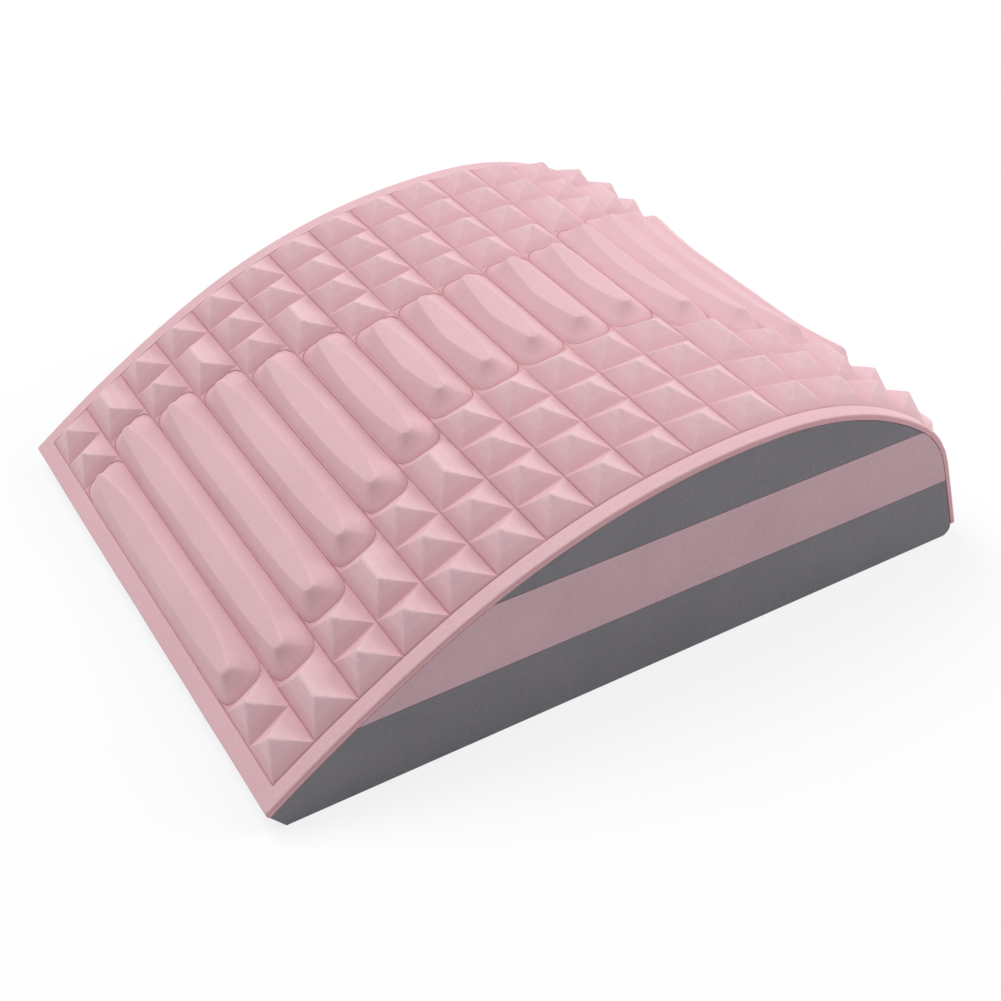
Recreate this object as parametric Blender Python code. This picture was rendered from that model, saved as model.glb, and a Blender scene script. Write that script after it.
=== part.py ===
"""Lumbar back stretcher: a moulded massage mat glued over an arched core of three foam layers.

Metres, +Z up. X runs along the arch from the thin edge to the heel and Y runs across the back.
The origin is on the floor, under the middle of the whole stretcher.
"""

import math

import bmesh
import bpy

# Overall sizes, in metres, and angles in degrees
WIDTH = 0.305
THIN_EDGE_HEIGHT = 0.0092
THIN_EDGE_SLOPE = 37.8

# The arch that the mat is glued to: the radius and the turn of each arc, thin edge first
FLANK_RADIUS = 0.716
FLANK_TURN = 8.7
DOME_RADIUS = 0.334
DOME_TURN = 30.9
SHOULDER_RADIUS = 0.160
SHOULDER_TURN = 34.8
HEEL_RADIUS = 0.061
HEEL_TURN = 34.4
HEEL_CORNER_RADIUS = 0.005
HEEL_CORNER_STEPS = 5

# The foam core, from the floor up; the upper layer fills what is left under the arch
LOWER_LAYER = 0.040
MIDDLE_LAYER = 0.039

# The massage mat
SHEET_THICKNESS = 0.003
BORDER = 0.00875
THIN_BAND = 0.010
HEEL_BAND = 0.016
STUD_HEIGHT = 0.0073
STUD_TIP_WIDTH = 0.004
STUD_TIP_RISE = 0.001
BAR_DIP = 0.0034
BAR_DIP_REACH = 0.070
BAR_CROWN = 0.0004
BAR_CORNER_ALONG = 0.0075
BAR_CORNER_ACROSS = 0.0052
ROWS = 17
HALF_CELLS = 23

# How many half cells a stud and a long stud cover along their row
STUD_HALF_CELL_COUNT = 2
LONG_STUD_HALF_CELL_COUNT = 3

# The studs (S) and long studs (L) between the edge and the bar of each row, from the edge inwards.
# The rows run from the thin edge to the middle row, and the rest mirror them.
SIDE_STUDS = ["SS", "L", "SS", "SL", "SSS", "SSL", "SSSS", "SSSS", "SSSS"]

# Clearance between faces that are glued together
GLUE_GAP = 0.0003

OBJECT_NAME = "lumbar_back_stretcher"

ARCS = [
    (FLANK_RADIUS, math.radians(FLANK_TURN)),
    (DOME_RADIUS, math.radians(DOME_TURN)),
    (SHOULDER_RADIUS, math.radians(SHOULDER_TURN)),
    (HEEL_RADIUS, math.radians(HEEL_TURN)),
]


def arch_at(distance):
    """The point (x, z) and the slope of the arch at a distance along it from the thin edge."""
    x = 0.0
    z = THIN_EDGE_HEIGHT
    slope = math.radians(THIN_EDGE_SLOPE)
    for radius, turn in ARCS:
        step = min(max(distance, 0.0), radius * turn)
        next_slope = slope - step / radius
        x += radius * (math.sin(slope) - math.sin(next_slope))
        z += radius * (math.cos(next_slope) - math.cos(slope))
        slope = next_slope
        distance -= step
    x += distance * math.cos(slope)
    z += distance * math.sin(slope)
    return x, z, slope


def over_arch(distance, height):
    """The point (x, z) at a height over the arch, square to it."""
    x, z, slope = arch_at(distance)
    return x - height * math.sin(slope), z + height * math.cos(slope)


# The arch ends where the rounded corner of the heel starts
ARCS_LENGTH = sum(radius * turn for radius, turn in ARCS)
HEEL_TOP = arch_at(ARCS_LENGTH)[1]
HEEL_SLOPE = arch_at(ARCS_LENGTH)[2]
HEEL_CORNER_TURN = math.pi + HEEL_SLOPE
HEEL_CORNER_RUN = HEEL_CORNER_RADIUS * math.tan(HEEL_CORNER_TURN / 2)
ARCH_LENGTH = ARCS_LENGTH + HEEL_TOP / math.sin(-HEEL_SLOPE) - HEEL_CORNER_RUN

# The pattern of the mat fills the arch and the width
ROW_PITCH = (ARCH_LENGTH - THIN_BAND - HEEL_BAND) / ROWS
CELL_PITCH = (WIDTH - 2 * BORDER) / HALF_CELLS * 2
STUD_FLANK = (min(ROW_PITCH, CELL_PITCH) - STUD_TIP_WIDTH) / 2
STUD_SHOULDER = STUD_HEIGHT - STUD_TIP_RISE
FLANK_STEEPNESS = STUD_SHOULDER / STUD_FLANK


def row_line(half_rows):
    """The distance along the arch of a line of the pattern, counted in half rows."""
    return THIN_BAND + half_rows * ROW_PITCH / 2


def cell_line(half_cells):
    """The place across the width of a line of the pattern, counted in half cells."""
    return -WIDTH / 2 + BORDER + half_cells * CELL_PITCH / 2


def arch_lines():
    """The distances along the arch where the mat and the core both have an edge."""
    return [0.0] + [row_line(half) for half in range(2 * ROWS + 1)] + [ARCH_LENGTH]


def foam(name, colour, roughness):
    """A plain closed-cell foam."""
    material = bpy.data.materials.new(name)
    material.use_nodes = True
    shader = material.node_tree.nodes["Principled BSDF"]
    shader.inputs["Base Color"].default_value = (*colour, 1.0)
    shader.inputs["Roughness"].default_value = roughness
    shader.inputs["Metallic"].default_value = 0.0
    material.diffuse_color = (*colour, 1.0)
    return material


def add_piece(name, bm, material, collection):
    """Makes a named object of a closed mesh, with its faces pointing out."""
    bmesh.ops.recalc_face_normals(bm, faces=bm.faces)
    mesh = bpy.data.meshes.new(name)
    bm.to_mesh(mesh)
    bm.free()
    mesh.materials.append(material)
    piece = bpy.data.objects.new(name, mesh)
    collection.objects.link(piece)
    return piece


def core_outline():
    """The closed outline (x, z) of the core: thin edge, arch, rounded heel corner and flat base."""
    outline = [over_arch(distance, -GLUE_GAP) for distance in arch_lines()]
    # The thin edge is cut square to the arch, so it leans in under the mat
    top_x, top_z = outline[0]
    outline.insert(0, (top_x + top_z * math.tan(math.radians(THIN_EDGE_SLOPE)), 0.0))
    centre_x, centre_z = over_arch(ARCH_LENGTH, -GLUE_GAP - HEEL_CORNER_RADIUS)
    for step in range(1, HEEL_CORNER_STEPS + 1):
        angle = HEEL_SLOPE + math.pi / 2 - HEEL_CORNER_TURN * step / HEEL_CORNER_STEPS
        x = centre_x + HEEL_CORNER_RADIUS * math.cos(angle)
        z = centre_z + HEEL_CORNER_RADIUS * math.sin(angle)
        outline.append((x, max(z, 0.0)))
    # The last point lies on the floor, straight under the centre of the corner
    outline[-1] = (centre_x, 0.0)
    return outline


def cut_level(bm, height, keep_above):
    """Cuts a closed mesh at a level, keeps one side and closes the cut with one face."""
    side = -1.0 if keep_above else 1.0
    geometry = bm.verts[:] + bm.edges[:] + bm.faces[:]
    bmesh.ops.bisect_plane(
        bm, geom=geometry, plane_co=(0, 0, height), plane_no=(0, 0, side), clear_outer=True
    )
    rim = [edge for edge in bm.edges if edge.is_boundary]
    bmesh.ops.contextual_create(bm, geom=rim)


def core_layer(bottom, top):
    """One die-cut layer of the core: the outline drawn across the width and cut at its levels."""
    bm = bmesh.new()
    corners = [bm.verts.new((x, -WIDTH / 2, z)) for x, z in core_outline()]
    side = bm.faces.new(corners)
    drawn = bmesh.ops.extrude_face_region(bm, geom=[side])["geom"]
    moved = [item for item in drawn if isinstance(item, bmesh.types.BMVert)]
    bmesh.ops.translate(bm, vec=(0, WIDTH, 0), verts=moved)
    if bottom is not None:
        cut_level(bm, bottom, keep_above=True)
    if top is not None:
        cut_level(bm, top, keep_above=False)
    return bm


def flat_slab():
    """The mat before its studs are raised: a flat slab with a grid of half cells on its top."""
    bm = bmesh.new()
    along = arch_lines()
    across = [-WIDTH / 2] + [cell_line(half) for half in range(HALF_CELLS + 1)] + [WIDTH / 2]
    columns = len(along) - 1
    strips = len(across) - 1
    bmesh.ops.create_grid(bm, x_segments=columns, y_segments=strips, size=0.5)
    for vert in bm.verts:
        column = round((vert.co.x + 0.5) * columns)
        strip = round((vert.co.y + 0.5) * strips)
        vert.co = (along[column], across[strip], 0.0)
    top = bmesh.ops.extrude_face_region(bm, geom=bm.faces[:])["geom"]
    raised = [item for item in top if isinstance(item, bmesh.types.BMVert)]
    bmesh.ops.translate(bm, vec=(0, 0, SHEET_THICKNESS), verts=raised)
    # The glued face has no cells, so only its lines across the arch stay
    spare = [
        edge
        for edge in bm.edges
        if max(vert.co.z for vert in edge.verts) == 0.0
        and edge.verts[0].co.y == edge.verts[1].co.y
        and abs(edge.verts[0].co.y) < WIDTH / 2 - BORDER / 2
    ]
    bmesh.ops.dissolve_edges(bm, edges=spare, use_verts=True)
    return bm


def top_faces(bm):
    """The faces on the top of the flat slab, by row and half cell."""
    faces = {}
    for face in bm.faces:
        centre = face.calc_center_median()
        if face.normal.z < 0.5 or centre.z < SHEET_THICKNESS / 2:
            continue
        half_row = math.floor((centre.x - row_line(0)) / (ROW_PITCH / 2))
        half_cell = math.floor((centre.y - cell_line(0)) / (CELL_PITCH / 2))
        if 0 <= half_row < 2 * ROWS and 0 <= half_cell < HALF_CELLS:
            faces.setdefault((half_row // 2, half_cell), []).append(face)
    return faces


def corner_cut_vert(edge, corner):
    """The vertex where a cut across a bar's corner meets an edge that starts at the corner."""
    far = edge.other_vert(corner)
    along_bar = abs(far.co.y - corner.co.y) > abs(far.co.x - corner.co.x)
    length = BAR_CORNER_ALONG if along_bar else BAR_CORNER_ACROSS
    # The bar of the next row may share this corner and may have its cut already
    if edge.calc_length() < length + GLUE_GAP:
        return far
    return bmesh.utils.edge_split(edge, corner, length / edge.calc_length())[1]


def cut_bar_corners(bm, faces, row, start, end):
    """Cuts the four corners of a bar off its end faces, and returns the faces that are left."""
    corners = [(row_line(2 * row + side), cell_line(place)) for side in (0, 2) for place in (start, end)]
    kept = []
    for face in faces:
        for corner_x, corner_y in corners:
            for loop in face.loops:
                corner = loop.vert
                if math.dist(corner.co.xy, (corner_x, corner_y)) < GLUE_GAP:
                    edges = (loop.edge, loop.link_loop_prev.edge)
                    cut = [corner_cut_vert(edge, corner) for edge in edges]
                    other = bmesh.utils.face_split(face, cut[0], cut[1])[0]
                    face = max(face, other, key=lambda part: len(part.verts))
                    break
        kept.append(face)
    return kept


def raise_stud(bm, faces, start, end, is_bar):
    """Raises one stud or bar: straight flanks all round, then a rounded tip or a dipped ridge."""
    bmesh.ops.inset_region(bm, faces=faces, thickness=STUD_FLANK, use_even_offset=True)
    inside = set(faces)
    verts = {vert for face in faces for vert in face.verts}
    middle = sum(vert.co.x for vert in verts) / len(verts)
    near_tip = cell_line(start) + CELL_PITCH / 2
    far_tip = cell_line(end) - CELL_PITCH / 2
    for vert in verts:
        on_ridge = all(face in inside for face in vert.link_faces)
        height = STUD_HEIGHT if on_ridge else STUD_SHOULDER
        from_tip = min(vert.co.y - near_tip, far_tip - vert.co.y)
        if is_bar and from_tip > -GLUE_GAP:
            share = 1 - min(max(from_tip, 0.0) / BAR_DIP_REACH, 1.0)
            ridge = STUD_HEIGHT - BAR_DIP * (1 - share * share)
            crown = STUD_TIP_RISE * share + BAR_CROWN * (1 - share)
            height = ridge if on_ridge else ridge - crown
            if not on_ridge:
                offset = ROW_PITCH / 2 - height / FLANK_STEEPNESS
                vert.co.x = middle + math.copysign(offset, vert.co.x - middle)
        vert.co.z = SHEET_THICKNESS + height


def massage_mat():
    """The mat: studs and bars raised on the flat slab, which is then bent over the arch."""
    bm = flat_slab()
    faces = top_faces(bm)
    bars = []
    for row in range(ROWS):
        from_end = min(row, ROWS - 1 - row, len(SIDE_STUDS) - 1)
        start = 0
        for kind in SIDE_STUDS[from_end]:
            length = LONG_STUD_HALF_CELL_COUNT if kind == "L" else STUD_HALF_CELL_COUNT
            for first in (start, HALF_CELLS - start - length):
                stud = [face for cell in range(first, first + length) for face in faces[row, cell]]
                raise_stud(bm, stud, first, first + length, is_bar=False)
            start += length
        bars.append((row, start, HALF_CELLS - start))
    # Bars touch each other along whole edges, so all their corners are cut before any is raised
    bar_faces = {}
    for row, start, end in bars:
        bar = [face for cell in range(start, end) for face in faces[row, cell]]
        bar_faces[row] = cut_bar_corners(bm, bar, row, start, end)
    for row, start, end in bars:
        raise_stud(bm, bar_faces[row], start, end, is_bar=True)
    for vert in bm.verts:
        x, z = over_arch(vert.co.x, vert.co.z)
        vert.co = (x, vert.co.y, z)
    return bm


def centre_over_origin(pieces):
    """Moves the pieces together along X until the middle of the whole lies over the origin."""
    places = [vert.co.x for piece in pieces for vert in piece.data.vertices]
    middle = (min(places) + max(places)) / 2
    for piece in pieces:
        for vert in piece.data.vertices:
            vert.co.x -= middle
        piece.data.update()


for old in list(bpy.data.objects):
    bpy.data.objects.remove(old, do_unlink=True)

collection = bpy.data.collections.new(OBJECT_NAME)
bpy.context.scene.collection.children.link(collection)

pink_mat = foam("pink_mat", (0.70, 0.42, 0.46), 0.62)
pink_foam = foam("pink_foam", (0.56, 0.31, 0.34), 0.75)
grey_foam = foam("grey_foam", (0.15, 0.145, 0.16), 0.72)

lower_top = LOWER_LAYER - GLUE_GAP / 2
middle_bottom = LOWER_LAYER + GLUE_GAP / 2
middle_top = LOWER_LAYER + MIDDLE_LAYER - GLUE_GAP / 2
upper_bottom = LOWER_LAYER + MIDDLE_LAYER + GLUE_GAP / 2

pieces = [
    add_piece("core_layer_lower", core_layer(None, lower_top), grey_foam, collection),
    add_piece("core_layer_middle", core_layer(middle_bottom, middle_top), pink_foam, collection),
    add_piece("core_layer_upper", core_layer(upper_bottom, None), grey_foam, collection),
    add_piece("massage_mat", massage_mat(), pink_mat, collection),
]
centre_over_origin(pieces)
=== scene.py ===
import math

import bmesh
import bpy
from mathutils import Matrix, Vector, noise


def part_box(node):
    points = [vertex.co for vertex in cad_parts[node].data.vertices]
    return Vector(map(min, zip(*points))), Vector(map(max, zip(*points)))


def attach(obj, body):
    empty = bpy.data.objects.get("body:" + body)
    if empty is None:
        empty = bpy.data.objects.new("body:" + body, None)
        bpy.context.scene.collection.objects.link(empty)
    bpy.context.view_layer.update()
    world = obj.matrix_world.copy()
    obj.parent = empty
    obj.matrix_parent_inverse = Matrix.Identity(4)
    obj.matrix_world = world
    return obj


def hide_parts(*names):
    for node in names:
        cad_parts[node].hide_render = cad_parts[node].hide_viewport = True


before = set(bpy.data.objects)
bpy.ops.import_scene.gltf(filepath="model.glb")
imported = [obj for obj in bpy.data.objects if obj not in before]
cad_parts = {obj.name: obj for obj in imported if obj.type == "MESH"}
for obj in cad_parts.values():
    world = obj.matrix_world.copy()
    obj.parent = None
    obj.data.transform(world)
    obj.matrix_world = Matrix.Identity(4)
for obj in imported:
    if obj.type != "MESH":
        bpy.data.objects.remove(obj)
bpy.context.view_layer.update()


# Camera
# The photograph looks down on the stretcher from beyond the front corner of its thin edge, which
# shows the whole mat and the front ends of the three foam layers.

PHOTO_SIDE = 1001
FOCAL_LENGTH_IN_PIXELS = 1555.86
SENSOR_WIDTH = 36.0
CAMERA_PLACE = (-0.3365, -0.5733, 0.5221)
CAMERA_AIM = (0.4063, 0.6720, -0.6192)
CAMERA_ROLL = 0.0028

camera_data = bpy.data.cameras.new("camera")
camera_data.sensor_width = SENSOR_WIDTH
camera_data.lens = FOCAL_LENGTH_IN_PIXELS / PHOTO_SIDE * SENSOR_WIDTH
camera = bpy.data.objects.new("camera", camera_data)
bpy.context.scene.collection.objects.link(camera)
camera.location = CAMERA_PLACE
aim = Vector(CAMERA_AIM).to_track_quat("-Z", "Y").to_matrix()
camera.rotation_euler = (aim @ Matrix.Rotation(CAMERA_ROLL, 3, "Z")).to_euler()
bpy.context.scene.camera = camera
bpy.context.scene.view_settings.view_transform = "Standard"


# Foam core
# Three layers of closed-cell foam, grey, pink and grey, glued flat on each other and then sawn to
# the arch together. The arch is four arcs that run into each other, and a straight heel.

THIN_EDGE_HEIGHT = 0.0092
THIN_EDGE_SLOPE = math.radians(37.8)
GLUE_GAP = 0.0003
THIN_EDGE_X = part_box("core_layer_lower")[0].x - GLUE_GAP * math.sin(THIN_EDGE_SLOPE)
# The radius and the turn of each arc, from the thin edge on
ARCS = [
    (0.716, math.radians(8.7)),
    (0.334, math.radians(30.9)),
    (0.160, math.radians(34.8)),
    (0.061, math.radians(34.4)),
]
ARC_STEP = 0.006
FEWEST_ARC_STEPS = 6
HEEL_CORNER = 0.005
HEEL_CORNER_STEPS = 8
SAWN_EDGE = 0.0004
SAWN_CORNER_FROM = math.radians(30)
SAWN_EDGE_WEAR = 0.5
SHARP_FROM = math.radians(36)
STRETCHER_WIDTH = 0.305
LAYERS = {
    # bottom, top, finish, how far both ends are sawn short of the full width
    "core_layer_lower": (0.0, 0.040, "grey_foam", 0.0001),
    "core_layer_middle": (0.040, 0.079, "pink_foam", 0.0),
    "core_layer_upper": (0.079, None, "grey_foam", 0.0002),
}


def arch_at(distance):
    """The point and the slope of the glued face, at a distance along it from the thin edge."""
    x = THIN_EDGE_X
    z = THIN_EDGE_HEIGHT
    slope = THIN_EDGE_SLOPE
    for radius, turn in ARCS:
        step = min(max(distance, 0.0), radius * turn)
        next_slope = slope - step / radius
        x += radius * (math.sin(slope) - math.sin(next_slope))
        z += radius * (math.cos(next_slope) - math.cos(slope))
        slope = next_slope
        distance -= step
    return x + distance * math.cos(slope), z + distance * math.sin(slope), slope


def over_arch(distance, height):
    """The point (x, z) that lies at a height over the glued face, square to it."""
    x, z, slope = arch_at(distance)
    return x - height * math.sin(slope), z + height * math.cos(slope)


arcs_length = sum(radius * turn for radius, turn in ARCS)
heel_top, heel_slope = arch_at(arcs_length)[1:]
heel_turn = math.pi + heel_slope
MAT_LENGTH = arcs_length + heel_top / math.sin(-heel_slope) - HEEL_CORNER * math.tan(heel_turn / 2)


def sweep(bm, edge, centre, turn, steps):
    """Turns an edge that lies across the stretcher round a centre, and returns where it ends."""
    swept = bmesh.ops.spin(
        bm,
        geom=[edge, *edge.verts],
        cent=(centre[0], 0, centre[1]),
        axis=(0, 1, 0),
        angle=turn,
        steps=steps,
        use_merge=False,
    )
    return next(item for item in swept["geom_last"] if isinstance(item, bmesh.types.BMEdge))


def draw_to(bm, edge, x, z):
    """Draws an edge that lies across the stretcher out to a place, and returns the new edge."""
    drawn = bmesh.ops.extrude_edge_only(bm, edges=[edge])["geom"]
    ends = [item for item in drawn if isinstance(item, bmesh.types.BMVert)]
    for vert in ends:
        vert.co.x = x
        vert.co.z = z
    return bm.edges.get(ends)


def foam_block():
    """The sawn block: from the floor up the thin edge, over the arch and round the heel."""
    bm = bmesh.new()
    top_x, top_z = over_arch(0.0, -GLUE_GAP)
    base_x = top_x + top_z * math.tan(THIN_EDGE_SLOPE)
    ends = [bm.verts.new((base_x, side * STRETCHER_WIDTH / 2, 0.0)) for side in (-1, 1)]
    base_edge = bm.edges.new(ends)
    edge = draw_to(bm, base_edge, top_x, top_z)
    distance = 0.0
    for radius, turn in ARCS:
        x, z, slope = arch_at(distance)
        centre = (x + radius * math.sin(slope), z - radius * math.cos(slope))
        steps = max(FEWEST_ARC_STEPS, round(radius * turn / ARC_STEP))
        edge = sweep(bm, edge, centre, turn, steps)
        distance += radius * turn
    edge = draw_to(bm, edge, *over_arch(MAT_LENGTH, -GLUE_GAP))
    centre = over_arch(MAT_LENGTH, -GLUE_GAP - HEEL_CORNER)
    edge = sweep(bm, edge, centre, heel_turn, HEEL_CORNER_STEPS)
    for vert in edge.verts:
        vert.co.z = 0.0
    bmesh.ops.bridge_loops(bm, edges=[edge, base_edge])
    bmesh.ops.holes_fill(bm, edges=bm.edges, sides=0)
    bmesh.ops.recalc_face_normals(bm, faces=bm.faces)
    return bm


def slice_block(bm, height, keep_above):
    """Slices a block at a seam and keeps the part above or below it."""
    side = -1 if keep_above else 1
    geometry = bm.verts[:] + bm.edges[:] + bm.faces[:]
    bmesh.ops.bisect_plane(
        bm, geom=geometry, plane_co=(0, 0, height), plane_no=(0, 0, side), clear_outer=True
    )
    rim = [edge for edge in bm.edges if edge.is_boundary]
    bmesh.ops.contextual_create(bm, geom=rim)


def new_piece(name, bm, material):
    """Makes a finished mesh a piece of the stretcher, in place of the solid of the same name."""
    mesh = bpy.data.meshes.new(name + "_detailed")
    bm.to_mesh(mesh)
    bm.free()
    mesh.materials.append(material)
    piece = bpy.data.objects.new(name + "_detailed", mesh)
    bpy.context.scene.collection.objects.link(piece)
    for face in mesh.polygons:
        face.use_smooth = True
    mesh.set_sharp_from_angle(angle=SHARP_FROM)
    shading = piece.modifiers.new("even_shading", "WEIGHTED_NORMAL")
    shading.mode = "FACE_AREA"
    shading.keep_sharp = True
    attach(piece, "root")
    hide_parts(name)


def foam_grain():
    """A node group for closed-cell foam: mottled colour, small cells, and paler edges, which are
    wear on the core and a painted highlight on the mat.
    """
    group = bpy.data.node_groups.new("foam_grain", "ShaderNodeTree")
    sockets = group.interface
    sockets.new_socket("Colour", in_out="INPUT", socket_type="NodeSocketColor")
    sockets.new_socket("Shade Colour", in_out="INPUT", socket_type="NodeSocketColor")
    sockets.new_socket("Wear and Highlight Colour", in_out="INPUT", socket_type="NodeSocketColor")
    sockets.new_socket("Cells per Metre", in_out="INPUT", socket_type="NodeSocketFloat")
    sockets.new_socket("Mottle", in_out="INPUT", socket_type="NodeSocketFloat")
    sockets.new_socket("Colour", in_out="OUTPUT", socket_type="NodeSocketColor")
    sockets.new_socket("Roughness", in_out="OUTPUT", socket_type="NodeSocketFloat")
    sockets.new_socket("Height", in_out="OUTPUT", socket_type="NodeSocketFloat")
    nodes = group.nodes
    links = group.links
    given = nodes.new("NodeGroupInput")
    result = nodes.new("NodeGroupOutput")
    place = nodes.new("ShaderNodeTexCoord")

    cells = nodes.new("ShaderNodeTexVoronoi")
    links.new(place.outputs["Object"], cells.inputs["Vector"])
    links.new(given.outputs["Cells per Metre"], cells.inputs["Scale"])

    grain = nodes.new("ShaderNodeTexNoise")
    grain.inputs["Scale"].default_value = 420.0
    grain.inputs["Detail"].default_value = 5.0
    grain.inputs["Roughness"].default_value = 0.65
    links.new(place.outputs["Object"], grain.inputs["Vector"])

    clouds = nodes.new("ShaderNodeTexNoise")
    clouds.inputs["Scale"].default_value = 26.0
    clouds.inputs["Detail"].default_value = 3.0
    links.new(place.outputs["Object"], clouds.inputs["Vector"])

    blend = nodes.new("ShaderNodeMath")
    blend.operation = "ADD"
    links.new(grain.outputs["Fac"], blend.inputs[0])
    links.new(clouds.outputs["Fac"], blend.inputs[1])

    spread = nodes.new("ShaderNodeMapRange")
    spread.inputs["From Min"].default_value = 0.75
    spread.inputs["From Max"].default_value = 1.25
    links.new(blend.outputs["Value"], spread.inputs["Value"])

    amount = nodes.new("ShaderNodeMath")
    amount.operation = "MULTIPLY"
    links.new(spread.outputs["Result"], amount.inputs[0])
    links.new(given.outputs["Mottle"], amount.inputs[1])

    mottled = nodes.new("ShaderNodeMix")
    mottled.data_type = "RGBA"
    links.new(amount.outputs["Value"], mottled.inputs["Factor"])
    links.new(given.outputs["Colour"], mottled.inputs["A"])
    links.new(given.outputs["Shade Colour"], mottled.inputs["B"])

    # Paler where the attribute marks it: worn on the core's sawn edges, a painted highlight on the
    # mat's ridges and tips
    wear_and_highlight = nodes.new("ShaderNodeAttribute")
    wear_and_highlight.attribute_name = "wear_and_highlight"
    patches = nodes.new("ShaderNodeMapRange")
    patches.inputs["From Min"].default_value = 0.35
    patches.inputs["From Max"].default_value = 0.60
    patches.inputs["To Min"].default_value = 0.2
    links.new(grain.outputs["Fac"], patches.inputs["Value"])
    wear_and_highlight_share = nodes.new("ShaderNodeMath")
    wear_and_highlight_share.operation = "MULTIPLY"
    links.new(wear_and_highlight.outputs["Fac"], wear_and_highlight_share.inputs[0])
    links.new(patches.outputs["Result"], wear_and_highlight_share.inputs[1])
    worn_and_highlit = nodes.new("ShaderNodeMix")
    worn_and_highlit.data_type = "RGBA"
    links.new(wear_and_highlight_share.outputs["Value"], worn_and_highlit.inputs["Factor"])
    links.new(mottled.outputs["Result"], worn_and_highlit.inputs["A"])
    links.new(given.outputs["Wear and Highlight Colour"], worn_and_highlit.inputs["B"])
    links.new(worn_and_highlit.outputs["Result"], result.inputs["Colour"])

    dull = nodes.new("ShaderNodeMapRange")
    dull.inputs["From Min"].default_value = 0.3
    dull.inputs["From Max"].default_value = 0.7
    dull.inputs["To Min"].default_value = 0.52
    dull.inputs["To Max"].default_value = 0.70
    links.new(grain.outputs["Fac"], dull.inputs["Value"])
    links.new(dull.outputs["Result"], result.inputs["Roughness"])

    relief = nodes.new("ShaderNodeMath")
    relief.operation = "MULTIPLY_ADD"
    relief.inputs[1].default_value = 0.6
    links.new(cells.outputs["Distance"], relief.inputs[0])
    links.new(grain.outputs["Fac"], relief.inputs[2])
    links.new(relief.outputs["Value"], result.inputs["Height"])
    return group


FOAM_GRAIN = foam_grain()


def foam(name, colour, shade_colour, wear_and_highlight_colour, cells_per_metre, mottle, relief):
    """A foam finish: the shared grain in its own colours, with fine cells in relief."""
    material = bpy.data.materials.new(name)
    material.use_nodes = True
    nodes = material.node_tree.nodes
    links = material.node_tree.links
    shader = nodes["Principled BSDF"]
    grain = nodes.new("ShaderNodeGroup")
    grain.node_tree = FOAM_GRAIN
    grain.inputs["Colour"].default_value = (*colour, 1.0)
    grain.inputs["Shade Colour"].default_value = (*shade_colour, 1.0)
    grain.inputs["Wear and Highlight Colour"].default_value = (*wear_and_highlight_colour, 1.0)
    grain.inputs["Cells per Metre"].default_value = cells_per_metre
    grain.inputs["Mottle"].default_value = mottle
    bump = nodes.new("ShaderNodeBump")
    bump.inputs["Strength"].default_value = relief
    bump.inputs["Distance"].default_value = 0.0004
    links.new(grain.outputs["Height"], bump.inputs["Height"])
    links.new(bump.outputs["Normal"], shader.inputs["Normal"])
    links.new(grain.outputs["Colour"], shader.inputs["Base Color"])
    links.new(grain.outputs["Roughness"], shader.inputs["Roughness"])
    shader.inputs["Specular IOR Level"].default_value = 0.35
    shader.inputs["Sheen Weight"].default_value = 0.1
    return material


FOAM_FINISHES = {
    "grey_foam": foam(
        "sawn_grey_foam",
        colour=(0.175, 0.167, 0.188),
        shade_colour=(0.140, 0.133, 0.152),
        wear_and_highlight_colour=(0.24, 0.23, 0.25),
        cells_per_metre=1500.0,
        mottle=0.8,
        relief=0.35,
    ),
    "pink_foam": foam(
        "sawn_pink_foam",
        colour=(0.575, 0.375, 0.420),
        shade_colour=(0.51, 0.322, 0.366),
        wear_and_highlight_colour=(0.66, 0.46, 0.50),
        cells_per_metre=1500.0,
        mottle=0.8,
        relief=0.35,
    ),
}

for layer, (bottom, top, finish, set_back) in LAYERS.items():
    block = foam_block()
    if bottom > 0.0:
        slice_block(block, bottom + GLUE_GAP / 2, keep_above=True)
    if top is not None:
        slice_block(block, top - GLUE_GAP / 2, keep_above=False)
    bmesh.ops.recalc_face_normals(block, faces=block.faces)
    bmesh.ops.scale(block, vec=(1, 1 - 2 * set_back / STRETCHER_WIDTH, 1), verts=block.verts)
    wear_and_highlight = block.faces.layers.float.new("wear_and_highlight")
    edges = [edge for edge in block.edges if edge.calc_face_angle(0.0) > SAWN_CORNER_FROM]
    rounded = bmesh.ops.bevel(
        block,
        geom=edges,
        offset=SAWN_EDGE,
        segments=2,
        profile=0.5,
        affect="EDGES",
        clamp_overlap=True,
        material=-1,
    )
    for face in rounded["faces"]:
        face[wear_and_highlight] = SAWN_EDGE_WEAR
    new_piece(layer, block, FOAM_FINISHES[finish])


# Massage mat
# One sheet of soft foam, moulded flat with studs and bars and then glued down over the arch. The
# mould leaves fine grooves between the rows, round the bars' ends and round the whole field.

SHEET = 0.003
BORDER = 0.00875
THIN_BAND = 0.010
HEEL_BAND = 0.016
MAT_EDGE = 0.0012
ROWS = 17
HALF_CELLS = 23
LIP = 0.0004
GROOVE_DEPTH = 0.0006

# The studs from the border to the bar, short or long, in each row from an end to the middle
SIDE_STUDS = ["SS", "L", "SS", "SL", "SSS", "SSL", "SSSS", "SSSS", "SSSS"]
STUD_HALF_CELLS = {"S": 2, "L": 3}
STUD_RISE = 0.0093
# Each ring's share of the way in to the tip, and of the rise
STUD_RINGS = [(0.05, 0.035), (0.40, 0.375), (0.72, 0.70), (0.90, 0.885), (0.965, 0.93)]
LONG_STUD_REACH = 0.0112
STUD_CORNER = 0.0003
STUD_RIDGE = 0.0011
STUD_RIDGE_LIMIT = 0.35

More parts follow.
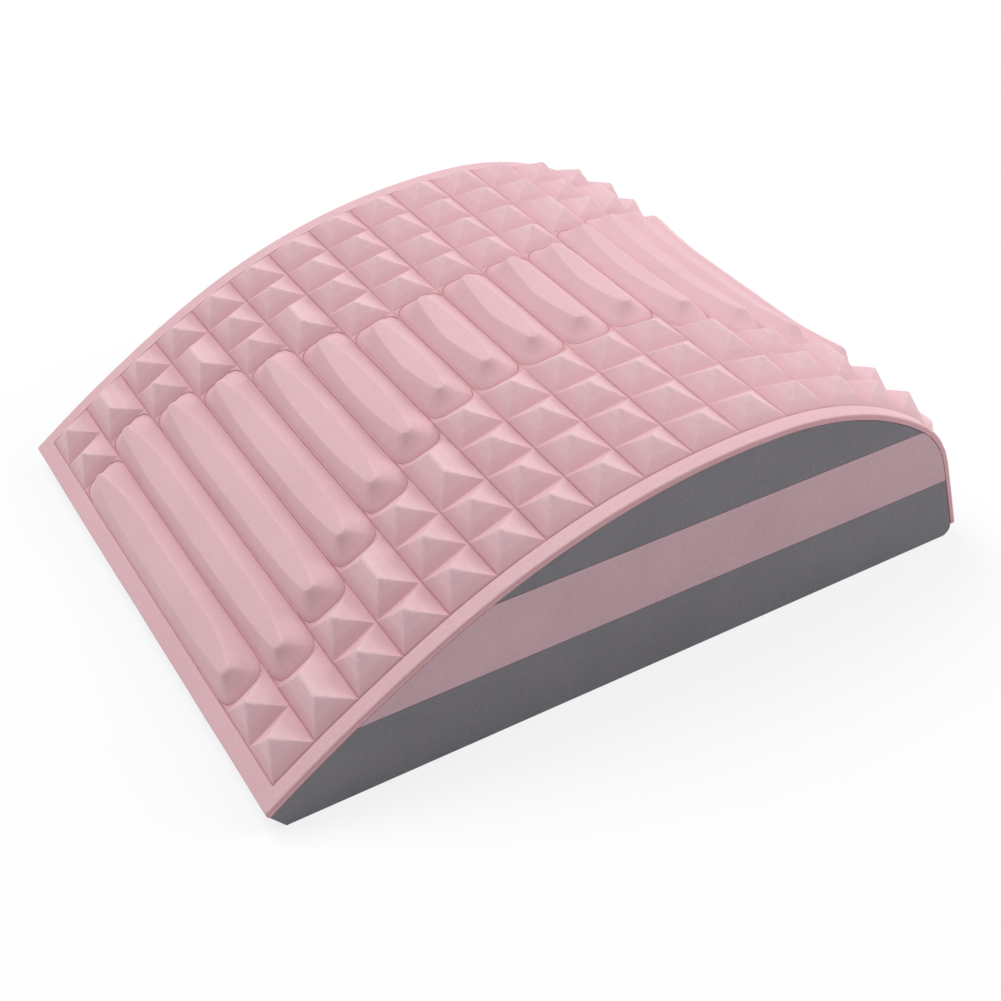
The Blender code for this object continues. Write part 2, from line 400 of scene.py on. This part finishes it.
BAR_CORNER_ALONG = 0.0052
BAR_CORNER_ACROSS = 0.0042
BAR_CORNER_ROUND = 0.0026
BAR_DIP_REACH = 0.045
BAR_TOP = {"middle": 0.0048, "tip": 0.0081}
BAR_CROWN = {"middle": 0.0001, "tip": 0.0004}
# Shares of the way in to the bar's middle line: where the flank ends, and how wide its rounding is
BAR_RIM = {"middle": 0.51, "tip": 0.76}
BAR_SHOULDER = {"middle": 0.045, "tip": 0.095}
BAR_RIM_DROP = 0.00008
BAR_FLANK_RINGS = (0.25, 0.6)
BAR_END_HOLLOW = 0.45
BAR_TIP_HIGHLIGHT = 0.5

ROW_PITCH = (MAT_LENGTH - THIN_BAND - HEEL_BAND) / ROWS
HALF_CELL = (STRETCHER_WIDTH - 2 * BORDER) / HALF_CELLS


def row_line(row):
    return THIN_BAND + row * ROW_PITCH


def cell_line(half_cells):
    return -STRETCHER_WIDTH / 2 + BORDER + half_cells * HALF_CELL


def sheet_lines():
    """The lines along and across the flat sheet that its grooves and corners lie on."""
    along = [0.0]
    for row in range(ROWS):
        start = row_line(row)
        along += [start - LIP, start, start + LIP, start + BAR_CORNER_ACROSS]
        along += [start + ROW_PITCH / 2, start + ROW_PITCH - BAR_CORNER_ACROSS]
    along += [row_line(ROWS) + step * LIP for step in (-1, 0, 1)]
    along.append(MAT_LENGTH)
    across = [cell_line(0) + step * LIP for step in (-1, 0, 1)]
    across.insert(0, -STRETCHER_WIDTH / 2)
    for half in range(1, HALF_CELLS + 1):
        across += [cell_line(half - 1) + BAR_CORNER_ALONG, cell_line(half) - BAR_CORNER_ALONG]
        across.append(cell_line(half))
    across[-1:] = [cell_line(HALF_CELLS) + step * LIP for step in (-1, 0, 1)]
    across.append(STRETCHER_WIDTH / 2)
    return along, across


def flat_sheet():
    """The flat sheet, with every line on its top and only those along the arch below."""
    along, across = sheet_lines()
    columns = len(along) - 1
    strips = len(across) - 1
    bm = bmesh.new()
    bmesh.ops.create_grid(bm, x_segments=columns, y_segments=strips, size=0.5)
    for vert in bm.verts:
        column = round((vert.co.x + 0.5) * columns)
        strip = round((vert.co.y + 0.5) * strips)
        vert.co = (along[column], across[strip], 0.0)
    drawn = bmesh.ops.extrude_face_region(bm, geom=bm.faces[:])["geom"]
    raised = [item for item in drawn if isinstance(item, bmesh.types.BMVert)]
    bmesh.ops.translate(bm, vec=(0, 0, SHEET), verts=raised)
    bmesh.ops.recalc_face_normals(bm, faces=bm.faces)
    spare = [
        edge
        for edge in bm.edges
        if edge.verts[0].co.z + edge.verts[1].co.z == 0.0
        and edge.verts[0].co.y == edge.verts[1].co.y
        and abs(edge.verts[0].co.y) < STRETCHER_WIDTH / 2 - LIP
    ]
    bmesh.ops.dissolve_edges(bm, edges=spare, use_verts=True)
    return bm


def join_cells(bm, cells, row, start, end):
    """Joins the top faces between two lines of a row into the face that a form rises from."""
    box = (
        row_line(row) + LIP,
        row_line(row + 1) - LIP,
        max(cell_line(start), cell_line(0) + LIP),
        min(cell_line(end), cell_line(HALF_CELLS) - LIP),
    )
    faces = [
        face
        for face, centre in cells
        if box[0] < centre.x < box[1] and box[2] < centre.y < box[3]
    ]
    joined = bmesh.ops.dissolve_faces(bm, faces=faces, use_verts=False)["region"][0]
    return joined, box


def same(first, second):
    return abs(first - second) < 1e-6


def vert_at(face, x, y):
    return min(face.verts, key=lambda vert: math.dist(vert.co.xy, (x, y)))


def cut_corner(face, corner, length):
    """Cuts a corner off a face at a length along both its edges, and returns both parts."""
    loop = next(loop for loop in face.loops if loop.vert == corner)
    cuts = []
    # An edge scarcely longer than the cut is cut at its far end
    for edge in (loop.edge, loop.link_loop_prev.edge):
        if edge.calc_length() < 1.2 * length:
            cuts.append(edge.other_vert(corner))
        else:
            cuts.append(bmesh.utils.edge_split(edge, corner, length / edge.calc_length())[1])
    other = bmesh.utils.face_split(face, *cuts)[0]
    return (face, other) if corner in other.verts else (other, face)


def round_bar_ends(bar, box):
    """Cuts the corners off a bar, rounds the cuts, and returns the flat lands that are left."""
    lands = []
    across = BAR_CORNER_ACROSS - LIP
    for x, to_cut_x in ((box[0], across), (box[1], -across)):
        for y, to_cut_y in ((box[2], BAR_CORNER_ALONG), (box[3], -BAR_CORNER_ALONG)):
            corner = vert_at(bar, x, y)
            cuts = [vert_at(bar, x + to_cut_x, y), vert_at(bar, x, y + to_cut_y)]
            other = bmesh.utils.face_split(bar, *cuts)[0]
            bar, land = (bar, other) if corner in other.verts else (other, bar)
            slivers = []
            for cut in cuts:
                bar, sliver = cut_corner(bar, cut, BAR_CORNER_ROUND)
                slivers.append(sliver)
            lands.append(bmesh.utils.face_join([land, *slivers]))
    return bar, lands


def next_ring(bm, face, places):
    """Draws a face out to a new ring, with a place for each of its corners in turn."""
    face = bmesh.ops.extrude_discrete_faces(bm, faces=[face])["faces"][0]
    for vert, place in zip(face.verts, places):
        vert.co = place
    return face


def between(value, low, high, new_low, new_high):
    return new_low + (value - low) * (new_high - new_low) / (high - low)


def raise_stud(bm, stud, box):
    """Raises a stud in rings that draw in to its tip, with the same rounding all up its ridges."""
    for x in box[:2]:
        for y in box[2:]:
            stud = cut_corner(stud, vert_at(stud, x, y), STUD_CORNER)[0]
    low_x, high_x, low_y, high_y = box
    middle = (low_x + high_x) / 2
    near_tip = low_y + LONG_STUD_REACH
    far_tip = high_y - LONG_STUD_REACH
    if far_tip - near_tip < HALF_CELL / 2:
        near_tip = far_tip = (low_y + high_y) / 2
    outline = [vert.co.copy() for vert in stud.verts]
    wear_and_highlight = bm.faces.layers.float["wear_and_highlight"]
    side_x = (low_x + STUD_CORNER, high_x - STUD_CORNER)
    side_y = (low_y + STUD_CORNER, high_y - STUD_CORNER)
    for share, rise in STUD_RINGS:
        ring_x = [low_x + (middle - low_x) * share, high_x + (middle - high_x) * share]
        ring_y = [low_y + (near_tip - low_y) * share, high_y + (far_tip - high_y) * share]
        ridge = min(
            STUD_RIDGE,
            STUD_CORNER + STUD_RIDGE * share,
            STUD_RIDGE_LIMIT * (ring_x[1] - ring_x[0]),
        )
        places = []
        for base in outline:
            if same(base.x, low_x) or same(base.x, high_x):
                x = ring_x[base.x > middle]
                y = between(base.y, *side_y, ring_y[0] + ridge, ring_y[1] - ridge)
            else:
                x = between(base.x, *side_x, ring_x[0] + ridge, ring_x[1] - ridge)
                y = ring_y[base.y > near_tip]
            places.append((x, y, SHEET + rise * STUD_RISE))
        stud = next_ring(bm, stud, places)
        # The faces across the ridges get a painted highlight, stronger towards the tip, and the
        # tip gets it in full
        # The four short edges that run askew to the stud's sides lie across its ridges
        for edge in stud.edges:
            step = edge.verts[1].co - edge.verts[0].co
            if min(abs(step.x), abs(step.y)) > STUD_CORNER / 2:
                for face in edge.link_faces:
                    face[wear_and_highlight] = share
    stud[wear_and_highlight] = 1.0


def towards_tip(sizes, share):
    """A size between the one at a bar's middle and the one at its tips."""
    return sizes["middle"] + (sizes["tip"] - sizes["middle"]) * share


def raise_bar(bm, bar, box):
    """Raises a bar: flanks up to a flat top, which dips between two high and rounded tips."""
    middle = (box[0] + box[1]) / 2
    half_width = (box[1] - box[0]) / 2 - LIP
    near_tip = box[2] + HALF_CELL
    far_tip = box[3] - HALF_CELL
    bmesh.ops.inset_individual(bm, faces=[bar], thickness=LIP, use_even_offset=True)
    outline = [Vector((*vert.co.xy, SHEET)) for vert in bar.verts]
    columns = []
    for vert, base in zip(bar.verts, outline):
        vert.co = base
        spine = Vector((middle, min(max(base.y, near_tip), far_tip)))
        nearness = max(0.0, 1.0 - min(spine.y - near_tip, far_tip - spine.y) / BAR_DIP_REACH)
        top = towards_tip(BAR_TOP, nearness**2)
        crown = towards_tip(BAR_CROWN, nearness**4)
        rim = towards_tip(BAR_RIM, nearness**2)
        shoulder = towards_tip(BAR_SHOULDER, nearness**4)
        out = base.xy - spine
        hollow = BAR_END_HOLLOW * abs(out.y) / out.length
        # Each step's share of the way in, share of the way up the flank, and rise
        steps = []
        for up in (*BAR_FLANK_RINGS, 1.0 - shoulder / rim):
            rise = (top - crown) * up * (1.0 - hollow * (1.0 - up))
            steps.append((up * rim, up, rise))
        steps.append((rim, 1.0, top - crown - BAR_RIM_DROP))
        steps.append((rim + shoulder, 1.0, top))
        column = []
        for share, up, rise in steps:
            rounder = 1.0 + up * (half_width / out.length - 1.0)
            column.append((*(spine + out * (1.0 - share) * rounder), SHEET + rise))
        columns.append(column)
    for places in zip(*columns):
        bar = next_ring(bm, bar, places)
    # The shoulders near the tips get a painted highlight that fades towards the bar's middle; the
    # flat top gets none
    wear_and_highlight = bm.faces.layers.float["wear_and_highlight"]
    for edge in bar.edges:
        side = sum(vert.co.y for vert in edge.verts) / 2
        nearness = 1.0 - min(side - near_tip, far_tip - side) / BAR_DIP_REACH
        for face in edge.link_faces:
            face[wear_and_highlight] = BAR_TIP_HIGHLIGHT * min(max(0.0, nearness), 1.0) ** 4
    bar[wear_and_highlight] = 0.0
    # Joins the two sides of the flat top straight across
    pairs = {}
    for vert, base in zip(bar.verts, outline):
        if near_tip - LIP < base.y < far_tip + LIP:
            pairs.setdefault(round(base.y, 5), []).append(vert)
    for pair in pairs.values():
        if len(pair) == 2:
            bmesh.ops.connect_verts(bm, verts=pair)


mat = flat_sheet()
mat.faces.layers.float.new("wear_and_highlight")
cells = [(face, face.calc_center_median()) for face in mat.faces if face.normal.z > 0.5]
studs = []
bars = []
for row in range(ROWS):
    start = 0
    for kind in SIDE_STUDS[min(row, ROWS - 1 - row)]:
        end = start + STUD_HALF_CELLS[kind]
        studs.append(join_cells(mat, cells, row, start, end))
        studs.append(join_cells(mat, cells, row, HALF_CELLS - end, HALF_CELLS - start))
        start = end
    bars.append(join_cells(mat, cells, row, start, HALF_CELLS - start))
for index, (bar, box) in enumerate(bars):
    bars[index] = (*round_bar_ends(bar, box), box)

bar_faces = {bar for bar, lands, box in bars}
land_faces = {land for bar, lands, box in bars for land in lands}
half_field = -cell_line(0)


def past_field(vert):
    """How far a point of the flat sheet lies out past the groove round the field."""
    past_ends = max(row_line(0) - vert.co.x, vert.co.x - row_line(ROWS))
    return max(past_ends, abs(vert.co.y) - half_field)


def on_row_middle(vert):
    """Whether a point of the flat sheet lies on the line along the middle of a row."""
    return abs((vert.co.x - THIN_BAND) / ROW_PITCH % 1.0 - 0.5) < 0.01


def spare_lines(vert):
    """The lines from a point beside a groove into the groove that no stud or bar needs."""
    rows_in = (vert.co.x - THIN_BAND) / ROW_PITCH
    if not 0.0 < rows_in < ROWS:
        return []
    groove = row_line(round(rows_in))
    if same(abs(vert.co.x - groove), LIP) and abs(vert.co.y) < half_field - 2 * LIP:
        if bar_faces & set(vert.link_faces):
            return []
        return [edge for edge in vert.link_edges if same(edge.other_vert(vert).co.x, groove)]
    if same(abs(vert.co.y), half_field - LIP) and not on_row_middle(vert):
        return [
            edge
            for edge in vert.link_edges
            if same(abs(edge.other_vert(vert).co.y), half_field)
        ]
    return []


# Takes out the lines over the grooves that no form needs, and the points left on plain edges
spare = []
for vert in mat.verts:
    if len(vert.link_edges) == 3 and vert.co.z > 0.0:
        spare += spare_lines(vert)
bmesh.ops.dissolve_edges(mat, edges=spare, use_verts=True)
spare = [
    vert
    for vert in mat.verts
    if len(vert.link_edges) == 2
    and not on_row_middle(vert)
    and not (bar_faces & set(vert.link_faces) and land_faces & set(vert.link_faces))
]
bmesh.ops.dissolve_verts(mat, verts=spare)

# The mould's grooves: along the rows, round the whole field and round the ends of the bars
grooved = set()
for vert in mat.verts:
    on_row = any(same(vert.co.x, row_line(row)) for row in range(ROWS + 1))
    on_side = same(abs(vert.co.y), half_field)
    if vert.co.z > 0.0 and (on_row or on_side) and past_field(vert) < 1e-6:
        grooved.add(vert)
for bar, lands, box in bars:
    for vert in bar.verts:
        if not (same(vert.co.x, box[0]) or same(vert.co.x, box[1])):
            grooved.add(vert)
    for land in lands:
        grooved.update(vert for vert in land.verts if vert in bar.verts)
for vert in grooved:
    vert.co.z = SHEET - GROOVE_DEPTH
for vert in grooved:
    beside = [edge.other_vert(vert) for edge in vert.link_edges]
    beside = [other for other in beside if other not in grooved]
    if beside and all(land_faces & set(other.link_faces) for other in beside):
        vert.co.z = SHEET - GROOVE_DEPTH / 4
for bar, lands, box in bars:
    for land in lands:
        bmesh.ops.inset_individual(mat, faces=[land], thickness=LIP, use_even_offset=True)
        for vert in land.verts:
            vert.co.z = SHEET
for stud, box in studs:
    raise_stud(mat, stud, box)
for bar, lands, box in bars:
    raise_bar(mat, bar, box)


def on_outline(vert):
    """Whether a point lies on the top edge of the flat sheet's own outline."""
    past_ends = min(vert.co.x, MAT_LENGTH - vert.co.x)
    inside = min(past_ends, STRETCHER_WIDTH / 2 - abs(vert.co.y))
    return inside < 1e-5 and vert.co.z > SHEET - 1e-5


mat.normal_update()
outer_edges = [
    edge
    for edge in mat.edges
    if all(on_outline(vert) for vert in edge.verts)
    and any(abs(face.normal.z) < 0.1 for face in edge.link_faces)
]
bmesh.ops.bevel(
    mat,
    geom=outer_edges,
    offset=MAT_EDGE,
    segments=3,
    profile=0.5,
    affect="EDGES",
    clamp_overlap=False,
    material=-1,
)

# Painted shade on the mat: the cut side of the sheet, which is darker also for its open cells, and
# the feet of the studs and bars, fading out up to a rise
CUT_SIDE_SHADE = 0.65
FOOT_SHADE = 0.45
FOOT_SHADE_RISE = 0.0022
WAVES_PER_METRE = 28.0
WAVE_SIZE = 0.0003

# Without a seed of its own the noise would differ from run to run
noise.seed_set(1)
# Painted shade, kept per point: full down in the grooves, fading up from the feet of the forms,
# and part on the sheet's cut side
shade = mat.verts.layers.float.new("groove_shade")
for vert in mat.verts:
    rise = vert.co.z - SHEET
    if past_field(vert) > LIP / 2:
        vert[shade] = CUT_SIDE_SHADE if rise < -MAT_EDGE / 4 else 0.0
    elif rise < -GROOVE_DEPTH / 8:
        vert[shade] = 1.0
    else:
        vert[shade] = FOOT_SHADE * max(0.0, 1.0 - rise / FOOT_SHADE_RISE) ** 2
    if vert.co.z > SHEET / 2:
        wave = noise.noise_vector(vert.co * WAVES_PER_METRE) * WAVE_SIZE
        vert.co.x += wave.x
        vert.co.y += wave.y / 2
    x, z = over_arch(vert.co.x, vert.co.z)
    vert.co = (x, vert.co.y, z)
bmesh.ops.recalc_face_normals(mat, faces=mat.faces)


# Painted shade: the dark red that the grooves, the feet of the forms and the sheet's cut side are
# mixed towards
GROOVE_SHADE_COLOUR = (0.50, 0.20, 0.22, 1.0)
GROOVE_SHADE_STRENGTH = 0.7


def moulded_foam():
    """The skin of the mat: the foam grain, with a red painted shade down in the grooves and a
    painted highlight on the ridges.
    """
    material = foam(
        "moulded_pink_foam",
        colour=(0.745, 0.470, 0.510),
        shade_colour=(0.675, 0.410, 0.450),
        # The colour of the painted highlight on the mat's ridges and tips
        wear_and_highlight_colour=(0.80, 0.565, 0.60),
        cells_per_metre=1100.0,
        mottle=0.5,
        relief=0.22,
    )
    nodes = material.node_tree.nodes
    links = material.node_tree.links
    shader = nodes["Principled BSDF"]
    grain = next(node for node in nodes if node.type == "GROUP")
    shade = nodes.new("ShaderNodeAttribute")
    shade.attribute_name = "groove_shade"
    shade_share = nodes.new("ShaderNodeMath")
    shade_share.operation = "MULTIPLY"
    shade_share.inputs[1].default_value = GROOVE_SHADE_STRENGTH
    links.new(shade.outputs["Fac"], shade_share.inputs[0])
    shaded_colour = nodes.new("ShaderNodeMix")
    shaded_colour.data_type = "RGBA"
    shaded_colour.inputs["B"].default_value = GROOVE_SHADE_COLOUR
    links.new(shade_share.outputs["Value"], shaded_colour.inputs["Factor"])
    links.new(grain.outputs["Colour"], shaded_colour.inputs["A"])
    links.new(shaded_colour.outputs["Result"], shader.inputs["Base Color"])
    return material


new_piece("massage_mat", mat, moulded_foam())


# Floor
# A plain white sweep, so large that its edge stays out of the picture. It keeps the soft shadow
# that the stretcher drops round its base.

FLOOR_REACH = 6.0
FLOOR_DROP = 0.0002
FLOOR_WHITENESS = 0.8


def seen_directly(tree):
    """Adds nodes that give 1 where the camera sees a surface, in a gloss or a glass too."""
    ray = tree.nodes.new("ShaderNodeLightPath")
    first = tree.nodes.new("ShaderNodeMath")
    first.operation = "ADD"
    tree.links.new(ray.outputs["Is Camera Ray"], first.inputs[0])
    tree.links.new(ray.outputs["Is Glossy Ray"], first.inputs[1])
    second = tree.nodes.new("ShaderNodeMath")
    second.operation = "ADD"
    second.use_clamp = True
    tree.links.new(first.outputs["Value"], second.inputs[0])
    tree.links.new(ray.outputs["Is Transmission Ray"], second.inputs[1])
    return second.outputs["Value"]


floor_mesh = bmesh.new()
bmesh.ops.create_grid(floor_mesh, x_segments=1, y_segments=1, size=FLOOR_REACH)
bmesh.ops.translate(floor_mesh, vec=(0, 0, -FLOOR_DROP), verts=floor_mesh.verts)
floor_data = bpy.data.meshes.new("floor")
floor_mesh.to_mesh(floor_data)
floor_mesh.free()
floor = bpy.data.objects.new("floor", floor_data)
bpy.context.scene.collection.objects.link(floor)
floor_finish = bpy.data.materials.new("white_floor")
floor_finish.use_nodes = True
floor_shader = floor_finish.node_tree.nodes["Principled BSDF"]
floor_shader.inputs["Base Color"].default_value = (0.93, 0.93, 0.93, 1.0)
floor_shader.inputs["Roughness"].default_value = 0.9
floor_shader.inputs["Specular IOR Level"].default_value = 0.1
floor_nodes = floor_finish.node_tree.nodes
floor_links = floor_finish.node_tree.links
share = floor_nodes.new("ShaderNodeMath")
share.operation = "MULTIPLY"
share.inputs[1].default_value = FLOOR_WHITENESS
floor_links.new(seen_directly(floor_finish.node_tree), share.inputs[0])
white = floor_nodes.new("ShaderNodeEmission")
both = floor_nodes.new("ShaderNodeMixShader")
floor_links.new(share.outputs["Value"], both.inputs["Fac"])
floor_links.new(floor_shader.outputs["BSDF"], both.inputs[1])
floor_links.new(white.outputs["Emission"], both.inputs[2])
floor_links.new(both.outputs["Shader"], floor_nodes["Material Output"].inputs["Surface"])
floor_data.materials.append(floor_finish)


# Light
# An even white room with two large soft lamps, one high beyond the back and one lower down beyond
# the heel, so that the faces that look to the front and to the thin edge are a little darker.

ROOM_LIGHT = 0.25
ROOM_WHITENESS = 1.0
LAMP_SIZE = 2.0
LAMPS = {
    "back_lamp": ((-0.65, 1.13, 2.25), 50.0),
    "side_lamp": ((2.07, -0.75, 1.38), 38.0),
}

world = bpy.data.worlds.new("white_room")
bpy.context.scene.world = world
world.use_nodes = True
room = world.node_tree.nodes["Background"]
room.inputs["Color"].default_value = (1.0, 1.0, 1.0, 1.0)
room_links = world.node_tree.links
strength = world.node_tree.nodes.new("ShaderNodeMapRange")
strength.inputs["To Min"].default_value = ROOM_LIGHT
strength.inputs["To Max"].default_value = ROOM_WHITENESS
room_links.new(seen_directly(world.node_tree), strength.inputs["Value"])
room_links.new(strength.outputs["Result"], room.inputs["Strength"])
for name, (place, energy) in LAMPS.items():
    lamp_data = bpy.data.lights.new(name, "AREA")
    lamp_data.shape = "DISK"
    lamp_data.size = LAMP_SIZE
    lamp_data.energy = energy
    lamp = bpy.data.objects.new(name, lamp_data)
    bpy.context.scene.collection.objects.link(lamp)
    lamp.location = place
    lamp.rotation_euler = (-lamp.location).to_track_quat("-Z", "Y").to_euler()
